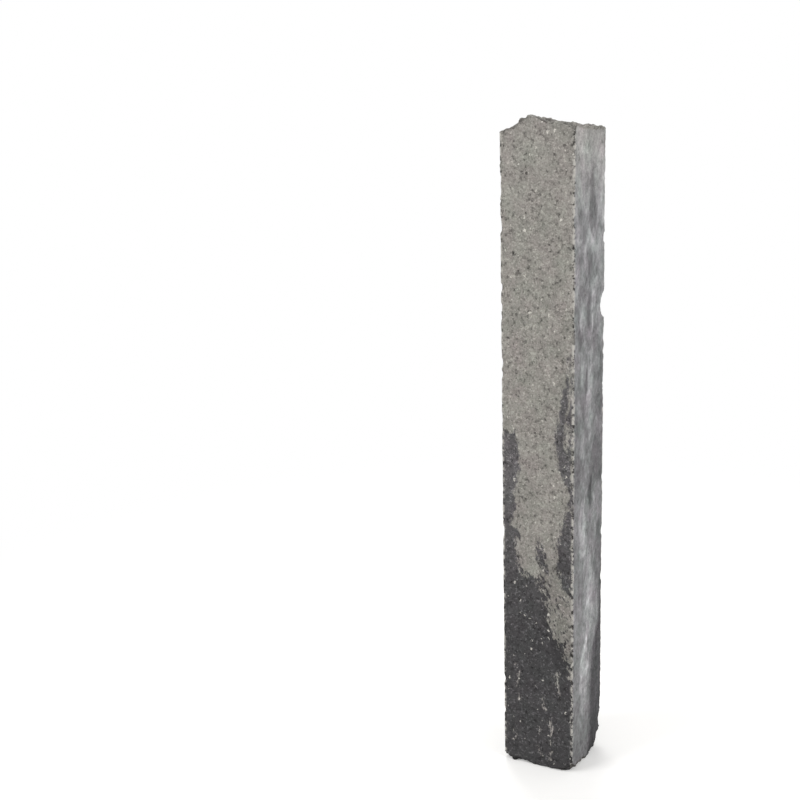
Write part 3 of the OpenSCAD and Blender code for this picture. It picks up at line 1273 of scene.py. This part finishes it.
@dataclass(frozen=True)
class TwoToneConcrete:
    """Dry-cast concrete of two mixes: earth-moist, rammed into a mould and struck at once.

    The ramming leaves an open grain of sand and 2 to 8 mm stone with small hollows, dull all
    over. White quartz shows as bright specks of uneven shape. The mould's walls smeared the
    right and left faces into a smoother, greyer skin with soft clouds. The rough grain shades
    its own gloss, so the specular level is lower than a smooth stone's. Real sand is about
    1 mm wide; the smallest grain here is coarser, so that a picture of the whole bar still
    shows it.

    Attributes:
        light: Colour of the light mix.
        light_skin: Its colour where it is smeared.
        dark_low: Colour of the dark mix at the foot.
        dark_high: Its colour further up.
        dark_turn_m: Heights between which the one turns into the other.
        dark_skin: Its colour where it is smeared.
        sand: Colour of the light specks on the dark mix.
        worn: Colour of a pale arris, partly wear and partly a painted highlight.
        casts: The greener and the more violet cast.
        patterns: The noise patterns.
        strengths: The strengths on grain and on skin.
        edge_swing: How far flecks carry the edge between the mixes, in mottlings.
        edge_breadth: Half the breadth of that edge, in softnesses.
        tone: Brightness of the colours before anything lightens them.
        blotch_swing: How much blotches lighten.
        grain_swing: How much grain lightens and darkens.
        scratch_swing: How much smears of the skin do.
        sand_gains: How much sand lightens the dark mix and the light one.
        quartz: The specks of quartz.
        pits: The pits, whose dark hue is painted shade in the holes.
        speck_stretch: How many times taller than wide specks and pits are.
        jitter_size: Width of the bends in their outlines.
        jitter_reach: How far these bends swing.
        stone_size: Width of the stones in the breaks.
        stone_tones: Brightness of the darkest and the lightest stone, as factors. Most are below 1, which
            partly paints the shade of the head's broken top and of the chips' notches.
        bump_depth: Height of the grain's relief.
        pit_bump: Depth of a pit beside it.
        stone_bump: Height of a stone beside it.
        roughness: Roughness of the surface.
        gloss: Its specular level.
    """

    light: str = "#94918b"
    light_skin: str = "#979798"
    dark_low: str = "#474647"
    dark_high: str = "#5f5d5e"
    dark_turn_m: tuple[float, float] = (0.22, 0.48)
    dark_skin: str = "#5c5b5d"
    sand: str = "#aca8a2"
    # Pale arris colour: partly wear, partly a painted highlight on the rounded edge
    worn: str = "#c2bfb9"
    casts: tuple[str, str] = ("#f6fffa", "#fff6fc")
    patterns: ConcretePatterns = ConcretePatterns()
    strengths: Strengths = Strengths()
    edge_swing: float = 2.0
    edge_breadth: float = 1.6
    tone: float = 0.69
    blotch_swing: float = 0.8
    grain_swing: float = 1.5
    scratch_swing: float = 1.2
    sand_gains: tuple[float, float] = (1.9, 0.72)
    quartz: Specks = Specks("#dcd8d0", 9.5, (0, 1), bare=0.20, radius=0.22, rim=0.05, faintest=0.15)
    # The pits' dark hue is painted shade inside the holes
    pits: Specks = Specks("#302e2c", 8.5, (1, 2), bare=0.40, radius=0.28, rim=0.10, faintest=0.0)
    speck_stretch: float = 4 / 3
    jitter_size: float = 2.6
    jitter_reach: float = 7.0
    stone_size: float = 6.5
    # Mostly below 1: the darker breaks are partly painted shade
    stone_tones: tuple[float, float] = (0.54, 1.02)
    bump_depth: float = 1.2
    pit_bump: float = 0.8
    stone_bump: float = 1.2
    roughness: float = 0.92
    gloss: float = 0.2

    def build(self) -> bpy.types.Material:
        """Make the material.

        Returns:
            The material.
        """
        material = bpy.data.materials.new("dry-cast two-tone concrete")
        on = self.ground(empty_tree(material))
        colour, lightness = self.mixes(on)
        colour, grain = self.shade(on, colour, lightness)
        colour, pits = self.specks(on, colour)
        colour = self.rubbed(on, colour)
        colour, stones = self.breaks(on, colour)
        surface = on.add("BsdfPrincipled", {
            "Base Color": colour, "Roughness": self.roughness, "Specular IOR Level": self.gloss,
            "Normal": self.bumps(on, grain, pits, stones),
        })
        on.add("OutputMaterial", {"Surface": surface["BSDF"]})
        return material

    def ground(self, tree: bpy.types.NodeTree) -> Ground:
        """Add the nodes that all layers share.

        Args:
            tree: The material's tree.

        Returns:
            What the layers are built on.
        """
        add = partial(add_node, tree)
        place = add("TexCoord")["Object"]
        carried = {name: add("Attribute", attribute_name=name)["Fac"] for name in CARRIED}
        noise, strength = {}, {}
        for name, pattern in vars(self.patterns).items():
            turn = (0, -math.radians(pattern.lean), 0)
            stretched = add("Mapping", {"Vector": place, "Rotation": turn, "Scale": (1, 1, pattern.stretch)},
                            vector_type="TEXTURE")[0]
            noise[name] = add("TexNoise", {
                "Vector": stretched, "Scale": per_metre(pattern.size), "Detail": pattern.detail,
                "Roughness": pattern.roughness,
            })[0]
            if pattern.span:
                low, high = pattern.span
                noise[name] = add("MapRange", {
                    "Value": noise[name], "From Min": low, "From Max": high, "To Max": pattern.most,
                })[0]
        for name, (on_grain, on_skin) in vars(self.strengths).items():
            strength[name] = add("Math", {0: carried["smear"], 1: on_skin - on_grain, 2: on_grain},
                                 operation="MULTIPLY_ADD")[0]
        return Ground(add, place, carried, noise, strength)

    def mixes(self, on: Ground) -> tuple[Socket, Socket]:
        """Lay the light mix over the dark one, with an edge of small flecks and slanting threads.

        Args:
            on: What the layers are built on.

        Returns:
            Sockets of the colour and of the light mix's share.
        """
        add, carried, noise = on.add, on.carried, on.noise
        swing = add("Math", {0: noise["flecks"], 1: 2 * self.edge_swing, 2: -self.edge_swing},
                    operation="MULTIPLY_ADD")[0]
        depth = add("Math", {0: swing, 1: carried["mottle"], 2: carried["depth"]},
                    operation="MULTIPLY_ADD")[0]
        threads = add("Math", {0: noise["threads"], 1: carried["invaded"]}, operation="MULTIPLY")[0]
        depth = add("Math", {0: depth, 1: threads}, operation="SUBTRACT")[0]
        lightness = add("MapRange", {
            "Value": depth, "From Min": -self.edge_breadth, "From Max": self.edge_breadth,
        }, interpolation_type="SMOOTHSTEP")[0]

        height = add("SeparateXYZ", {"Vector": on.place})["Z"]
        low, high = self.dark_turn_m
        up = add("MapRange", {"Value": height, "From Min": low, "From Max": high})[0]
        dark = add("Mix", {FACTOR: up, UNDER: linear(self.dark_low), OVER: linear(self.dark_high)},
                   data_type="RGBA")[MIXED]
        dark = add("Mix", {FACTOR: carried["smear"], UNDER: dark, OVER: linear(self.dark_skin)},
                   data_type="RGBA")[MIXED]
        light = add("Mix", {
            FACTOR: carried["smear"], UNDER: linear(self.light), OVER: linear(self.light_skin),
        }, data_type="RGBA")[MIXED]
        colour = add("Mix", {FACTOR: lightness, UNDER: dark, OVER: light}, data_type="RGBA")[MIXED]
        rows = add("Math", {0: noise["rows"], 1: carried["drip"]}, operation="MULTIPLY")[0]
        colour = add("Mix", {FACTOR: rows, UNDER: colour, OVER: linear(self.sand)}, data_type="RGBA")[MIXED]
        return colour, lightness

    def shade(self, on: Ground, colour: Socket, lightness: Socket) -> tuple[Socket, Socket]:
        """Vary the hue in wide patches, and the brightness by blotches, grain, hollows and sand; the hollows'
        darkening is painted shade.

        Args:
            on: What the layers are built on.
            colour: Socket of the colour so far.
            lightness: Socket of the light mix's share. Sand stands out more from the dark mix.

        Returns:
            Sockets of the colour and of the grain's height.
        """
        add, noise, strength = on.add, on.noise, on.strength
        cast = add("Math", {0: noise["cast"], 1: 0.5}, operation="SUBTRACT")[0]
        cast = add("Math", {0: cast, 1: strength["cast"], 2: 0.5}, operation="MULTIPLY_ADD",
                   use_clamp=True)[0]
        green, violet = self.casts
        cast = add("Mix", {FACTOR: cast, UNDER: linear(green), OVER: linear(violet)}, data_type="RGBA")[MIXED]
        colour = add("VectorMath", {0: colour, 1: cast}, operation="MULTIPLY")[0]

        factor = add("Math", {0: noise["blotches"], 1: self.blotch_swing, 2: self.tone},
                     operation="MULTIPLY_ADD")[0]
        swing = add("Math", {0: noise["grain"], 1: 0.5}, operation="SUBTRACT")[0]
        swing = add("Math", {0: swing, 1: strength["grain"]}, operation="MULTIPLY")[0]
        factor = add("Math", {0: swing, 1: self.grain_swing, 2: factor}, operation="MULTIPLY_ADD")[0]
        # Painted shade in the hollows between the grains
        hollows = add("Math", {0: noise["hollows"], 1: strength["grain"]}, operation="MULTIPLY")[0]
        factor = add("Math", {0: factor, 1: hollows}, operation="SUBTRACT")[0]
        on_dark, on_light = self.sand_gains
        gain = add("MapRange", {"Value": lightness, "To Min": on_dark, "To Max": on_light})[0]
        sand = add("Math", {0: noise["sand"], 1: gain}, operation="MULTIPLY")[0]
        factor = add("Math", {0: sand, 1: strength["grain"], 2: factor}, operation="MULTIPLY_ADD")[0]
        scratches = add("Math", {0: noise["scratches"], 1: 0.5}, operation="SUBTRACT")[0]
        scratches = add("Math", {0: scratches, 1: on.carried["smear"]}, operation="MULTIPLY")[0]
        factor = add("Math", {0: scratches, 1: self.scratch_swing, 2: factor}, operation="MULTIPLY_ADD")[0]
        factor = add("Math", {0: factor, 1: on.carried["tone"]}, operation="MULTIPLY")[0]
        colour = add("VectorMath", {0: colour, "Scale": factor}, operation="SCALE")[0]
        height = add("Math", {0: noise["grain"], 1: hollows}, operation="SUBTRACT")[0]
        return colour, height

    def specks(self, on: Ground, colour: Socket) -> tuple[Socket, Socket]:
        """Scatter quartz, and pits painted dark as the shade in their holes, over the cast faces, with
        outlines that noise bends.

        Args:
            on: What the layers are built on.
            colour: Socket of the colour so far.

        Returns:
            Sockets of the colour and of the pits.
        """
        add = on.add
        jitter = add("TexNoise", {
            "Vector": on.place, "Scale": per_metre(self.jitter_size), "Detail": 1.0,
        })["Color"]
        jitter = add("VectorMath", {0: jitter, 1: (0.5, 0.5, 0.5)}, operation="SUBTRACT")[0]
        reach = self.jitter_reach * MM
        bent = add("VectorMath", {0: jitter, 1: (reach, reach, reach), 2: on.place},
                   operation="MULTIPLY_ADD")[0]
        bent = add("Mapping", {"Vector": bent, "Scale": (1, 1, 1 / self.speck_stretch)})[0]
        for specks, strength in ((self.quartz, on.strength["quartz"]), (self.pits, on.strength["pits"])):
            cells = add("TexVoronoi", {"Vector": bent, "Scale": per_metre(specks.spacing)})
            chance = add("SeparateColor", {"Color": cells["Color"]})
            for_size, for_strength = (chance[draw] for draw in specks.draws)
            size = add("MapRange", {"Value": for_size, "From Min": specks.bare, "To Max": specks.radius})[0]
            inside = add("Math", {0: size, 1: cells["Distance"]}, operation="SUBTRACT")[0]
            speck = add("MapRange", {"Value": inside, "From Max": specks.rim})[0]
            share = add("MapRange", {"Value": for_strength, "To Min": specks.faintest})[0]
            share = add("Math", {0: share, 1: strength}, operation="MULTIPLY")[0]
            share = add("Math", {0: share, 1: speck}, operation="MULTIPLY")[0]
            # For the pits this mix paints shade into the holes
            colour = add("Mix", {FACTOR: share, UNDER: colour, OVER: linear(specks.hue)},
                         data_type="RGBA")[MIXED]
        # The pits are the last of the two
        return colour, speck

    def rubbed(self, on: Ground, colour: Socket) -> Socket:
        """Paint the arrises pale in places, partly wear and partly a painted highlight on the rounded edge,
        and paint shade into the notches where crumbs are missing.

        Args:
            on: What the layers are built on.
            colour: Socket of the colour so far.

        Returns:
            Socket of the colour.
        """
        # Pale arrises are partly wear and partly a painted highlight
        for name, hue in (("rubs", self.worn), ("gaps", self.pits.hue)):
            share = on.add("Math", {0: on.noise[name], 1: on.carried["arris"]}, operation="MULTIPLY")[0]
            # For the gaps this mix paints shade into the notches of missing crumbs
            colour = on.add("Mix", {FACTOR: share, UNDER: colour, OVER: linear(hue)}, data_type="RGBA")[MIXED]
        return colour

    def breaks(self, on: Ground, colour: Socket) -> tuple[Socket, Socket]:
        """Show stones of many greys where the bar was broken, darker on the whole: partly raw stone, partly
        painted shade of the head's top and of the chips.

        Args:
            on: What the layers are built on.
            colour: Socket of the colour so far.

        Returns:
            Sockets of the colour and of the distance to the nearest stone's middle.
        """
        stones = on.add("TexVoronoi", {"Vector": on.place, "Scale": per_metre(self.stone_size)})
        chance = on.add("SeparateColor", {"Color": stones["Color"]})["Blue"]
        # Darkening the breaks partly paints the shade of the head's top and of the chips
        darkest, lightest = self.stone_tones
        tone = on.add("MapRange", {"Value": chance, "To Min": darkest, "To Max": lightest})[0]
        raw = on.add("VectorMath", {0: colour, "Scale": tone}, operation="SCALE")[0]
        colour = on.add("Mix", {FACTOR: on.carried["broken"], UNDER: colour, OVER: raw},
                        data_type="RGBA")[MIXED]
        return colour, stones["Distance"]

    def bumps(self, on: Ground, grain: Socket, pits: Socket, stones: Socket) -> Socket:
        """Raise the grain, sink the pits and round the broken stones, finer than the mesh can.

        Args:
            on: What the layers are built on.
            grain: Socket of the grain's height.
            pits: Socket of the pits.
            stones: Socket of the distance to the nearest broken stone's middle.

        Returns:
            Socket of the normal.
        """
        add = on.add
        rough = add("Math", {0: pits, 1: -self.pit_bump, 2: grain}, operation="MULTIPLY_ADD")[0]
        rough = add("Math", {0: rough, 1: on.strength["bump"]}, operation="MULTIPLY")[0]
        sunk = add("Math", {0: stones, 1: on.carried["broken"]}, operation="MULTIPLY")[0]
        height = add("Math", {0: sunk, 1: -self.stone_bump, 2: rough}, operation="MULTIPLY_ADD")[0]
        return add("Bump", {"Height": height, "Strength": 1.0, "Distance": self.bump_depth * MM})[0]


@dataclass(frozen=True)
class SoftLight:
    """A square studio lamp that looks at the bar's middle.

    Attributes:
        name: Its name.
        azimuth: Degrees from straight in front, towards the right.
        elevation: Degrees above level.
        distance_m: Distance from the bar.
        side_m: Length of its sides.
        power: Watts.
    """

    name: str
    azimuth: float
    elevation: float
    distance_m: float
    side_m: float
    power: float

    def build(self, middle: Vector) -> bpy.types.Object:
        """Make the lamp.

        Args:
            middle: The point that it looks at.

        Returns:
            The lamp.
        """
        a, e = math.radians(self.azimuth), math.radians(self.elevation)
        outward = Vector((math.sin(a) * math.cos(e), -math.cos(a) * math.cos(e), math.sin(e)))
        data = bpy.data.lights.new(self.name, "AREA")
        data.energy = self.power
        data.size = self.side_m
        lamp = put_in_scene(self.name, data)
        lamp.location = middle + outward * self.distance_m
        lamp.rotation_mode = "QUATERNION"
        lamp.rotation_quaternion = outward.to_track_quat("Z", "Y")
        return lamp


@dataclass(frozen=True)
class Studio:
    """A plain pale floor, soft lamps and the camera.

    Attributes:
        lamps: The lamps.
        floor_colour: Colour of the floor by the bar.
        floor_reach_m: Half the floor's breadth.
        floor_fade_m: Distances between which the floor turns to the white of the backdrop.
        floor_lift: Glow that brings the floor beside the bar up to white, where it is seen straight.
        sky: Strength of the light from all round.
        eye_m: The camera's place.
        aim_m: The point that it looks at, left of the bar, which stands at the picture's right.
        roll: Degrees that it is tipped by, so that the bar stands upright in the picture.
        lens: Focal length on a sensor 36 mm wide.
    """

    lamps: tuple[SoftLight, ...] = (
        SoftLight("key lamp", -38, 38, 2.6, 1.1, 27),
        SoftLight("side lamp", 82, 30, 2.6, 1.1, 24),
        SoftLight("back lamp", 212, 40, 2.8, 1.4, 32),
    )
    floor_colour: str = "#f6f5f3"
    floor_reach_m: float = 14.0
    floor_fade_m: tuple[float, float] = (0.35, 1.5)
    floor_lift: float = 0.22
    sky: float = 0.48
    eye_m: tuple[float, float, float] = (0.904, -2.085, 1.267)
    aim_m: tuple[float, float, float] = (-0.265, 0.0, 0.558)
    roll: float = -1.64
    lens: float = 70.25

    def build(self, middle: Vector) -> None:
        """Make the backdrop, the floor, the lamps and the camera.

        Args:
            middle: The bar's middle, which the lamps look at.
        """
        bpy.context.scene.view_settings.view_transform = "Standard"
        self.backdrop()
        self.floor()
        for lamp in self.lamps:
            lamp.build(middle)
        self.camera()

    @staticmethod
    def seen_straight(add: Callable[..., Outputs]) -> Socket:
        """Tell rays that show the backdrop from those that light the bar.

        Args:
            add: Adds a node to the tree that asks.

        Returns:
            Socket that is over 0 for camera, glossy and transmitted rays.
        """
        path = add("LightPath")
        shown = add("Math", {0: path["Is Camera Ray"], 1: path["Is Glossy Ray"]}, operation="MAXIMUM")[0]
        return add("Math", {0: shown, 1: path["Is Transmission Ray"]}, operation="MAXIMUM")[0]

    def backdrop(self) -> None:
        """Make a world that looks white and lights the bar softly from all round."""
        world = bpy.data.worlds.new("white backdrop")
        add = partial(add_node, empty_tree(world))
        strength = add("MapRange", {"Value": self.seen_straight(add), "To Min": self.sky, "To Max": 1.0})[0]
        light = add("Background", {"Color": WHITE, "Strength": strength})[0]
        add("OutputWorld", {"Surface": light})
        bpy.context.scene.world = world

    def floor(self) -> bpy.types.Object:
        """Make a level floor that keeps the bar's shadow and turns white further off.

        Returns:
            The floor.
        """
        reach = self.floor_reach_m
        corners = [(-reach, -reach, 0), (reach, -reach, 0), (reach, reach, 0), (-reach, reach, 0)]
        mesh = bpy.data.meshes.new("studio_floor")
        mesh.from_pydata(corners, [], [(0, 1, 2, 3)])
        material = bpy.data.materials.new("pale painted floor")
        add = partial(add_node, empty_tree(material))
        seen = self.seen_straight(add)
        off = add("VectorMath", {0: add("TexCoord")["Object"]}, operation="LENGTH")["Value"]
        near, far = self.floor_fade_m
        white = add("MapRange", {"Value": off, "From Min": near, "From Max": far},
                    interpolation_type="SMOOTHSTEP")[0]
        white = add("Math", {0: white, 1: seen}, operation="MULTIPLY")[0]
        lift = add("Math", {0: seen, 1: self.floor_lift}, operation="MULTIPLY")[0]
        lift = add("Emission", {"Color": WHITE, "Strength": lift})[0]
        paint = add("BsdfDiffuse", {"Color": linear(self.floor_colour)})[0]
        paint = add("AddShader", {0: paint, 1: lift})[0]
        glow = add("Emission", {"Color": WHITE, "Strength": 1.0})[0]
        add("OutputMaterial", {"Surface": add("MixShader", {0: white, 1: paint, 2: glow})[0]})
        mesh.materials.append(material)
        return put_in_scene("studio_floor", mesh)

    def camera(self) -> bpy.types.Object:
        """Make the camera.

        Returns:
            The camera.
        """
        data = bpy.data.cameras.new("camera")
        data.lens = self.lens
        camera = put_in_scene("camera", data)
        look = Vector(self.aim_m) - Vector(self.eye_m)
        camera.location = self.eye_m
        camera.rotation_mode = "QUATERNION"
        tip = Quaternion((0, 0, 1), math.radians(self.roll))
        camera.rotation_quaternion = look.to_track_quat("-Z", "Y") @ tip
        bpy.context.scene.camera = camera
        return camera


def main() -> None:
    """Build the bar and the studio, and log what was made."""
    logging.basicConfig(level=logging.INFO, format="%(name)s: %(message)s")
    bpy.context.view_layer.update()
    low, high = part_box(NODE)
    form = BarForm(half_width=high.x / MM, half_depth=high.y / MM, height=high.z / MM)
    bar = Palisade(form, StoneRelief()).build(TwoToneConcrete().build())
    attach(bar, BODY)
    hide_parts(NODE)
    LOG.info("%s: %d vertices, %d faces", bar.name, len(bar.data.vertices), len(bar.data.polygons))

    Studio().build((low + high) / 2)
    LOG.info("studio: floor, %d lamps and camera", len(Studio.lamps))


if __name__ == "__main__":
    main()
